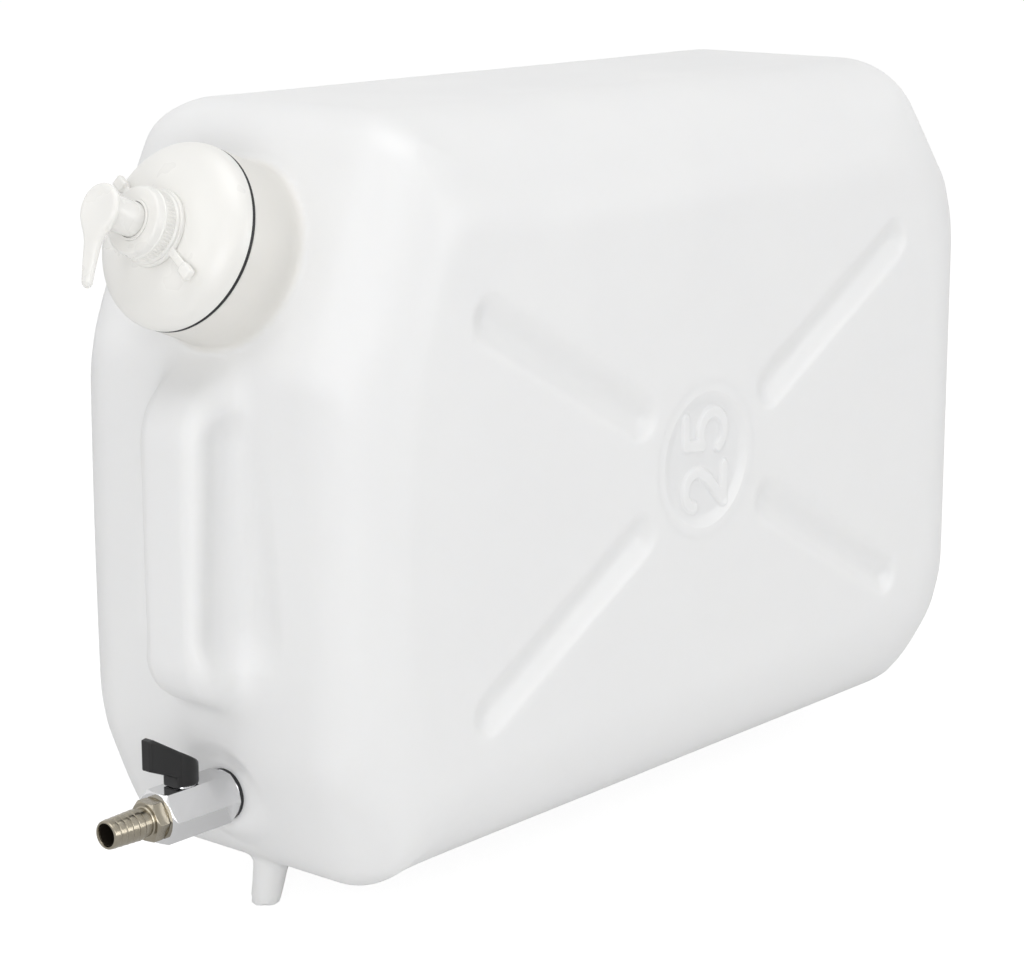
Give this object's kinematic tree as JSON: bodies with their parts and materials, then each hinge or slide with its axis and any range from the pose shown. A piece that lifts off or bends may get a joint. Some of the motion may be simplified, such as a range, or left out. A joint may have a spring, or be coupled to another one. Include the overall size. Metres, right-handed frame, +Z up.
{
  "type": "flat water canister with soap pump lid and ball valve",
  "caption": "Flat blow-moulded water canister with a moulded handle, a wide screw lid that carries a soap pump and bottle, and a small ball valve with a hose barb.",
  "frame": {"origin": "middle of the tank's flat underside, on the parting plane", "axes": "+Z up, +Y from the front end with handle, lid and valve towards the rear end, +X across the thickness towards the broad side with the raised number"},
  "size_m": [0.184, 0.555, 0.359],
  "materials": {
    "natural_hdpe": "natural high-density polyethylene, blow moulded, waxy satin",
    "white_pp": "white polypropylene, injection moulded, satin",
    "bottle_pe": "milky polyethylene, blow moulded",
    "milky_pp": "natural polypropylene, moulded, translucent",
    "white_ptfe": "turned white fluoropolymer",
    "black_rubber": "moulded black nitrile rubber",
    "grey_foam": "punched closed-cell foam",
    "chrome_brass": "chrome-plated brass, polished",
    "nickel_brass": "turned brass, nickel plated",
    "bare_brass": "turned brass",
    "zinc_steel": "zinc-plated steel",
    "spring_steel": "stainless steel, drawn and polished",
    "black_nylon": "black glass-filled nylon, moulded"
  },
  "bodies": {
    "tank": {"tank": "natural_hdpe", "valve_body": "chrome_brass", "valve_insert": "nickel_brass", "ball_seats": "white_ptfe", "stem_seal": "black_rubber", "hose_barb": "nickel_brass", "outer_washer": "black_rubber", "inner_washer": "black_rubber", "lock_nut": "nickel_brass"},
    "seal": {"lid_gasket": "black_rubber"},
    "lid": {"lid": "white_pp", "wing_ring": "white_pp", "soap_bottle": "bottle_pe"},
    "pump": {"pump_gasket": "grey_foam", "pump_chamber": "milky_pp", "pump_guide": "white_pp", "dip_tube": "milky_pp", "pump_spring": "spring_steel"},
    "collar": {"pump_collar": "white_pp"},
    "plunger": {"pump_piston": "milky_pp"},
    "head": {"pump_head": "white_pp", "pump_stem": "milky_pp"},
    "ball": {"check_ball": "spring_steel"},
    "lever": {"valve_lever": "black_nylon", "lever_screw": "zinc_steel", "valve_stem": "bare_brass", "valve_ball": "chrome_brass"}
  },
  "joints": [
    {"name": "lid_lift", "type": "slide", "parent": "tank", "child": "seal", "axis": [0, -0.9336, 0.3584], "range_m": [0, 0.16]},
    {"name": "lid_turn", "type": "hinge", "parent": "seal", "child": "lid", "pos_m": [0, -0.25423, 0.28749], "axis": [0, -0.9336, 0.3584], "range_deg": [0, 540]},
    {"name": "pump_lift", "type": "slide", "parent": "lid", "child": "pump", "axis": [0, -0.9336, 0.3584], "range_m": [0, 0.135]},
    {"name": "collar_turn", "type": "hinge", "parent": "pump", "child": "collar", "pos_m": [0, -0.27663, 0.29609], "axis": [0, -0.9336, 0.3584], "range_deg": [0, 540]},
    {"name": "pump_press", "type": "slide", "parent": "pump", "child": "plunger", "axis": [0, -0.9336, 0.3584], "range_m": [-0.012, 0], "stiffness_N_per_m": 350, "springref_m": 0.012, "deforming": ["pump_spring"]},
    {"name": "head_turn", "type": "hinge", "parent": "plunger", "child": "head", "pos_m": [0, -0.2953, 0.30326], "axis": [0, -0.9336, 0.3584], "continuous": true},
    {"name": "check_rise", "type": "slide", "parent": "pump", "child": "ball", "axis": [0, -0.9336, 0.3584], "range_m": [0, 0.0015]},
    {"name": "lever_turn", "type": "hinge", "parent": "tank", "child": "lever", "pos_m": [0, -0.263, 0.052], "axis": [0, 0, 1], "range_deg": [-90, 0]}
  ]
}
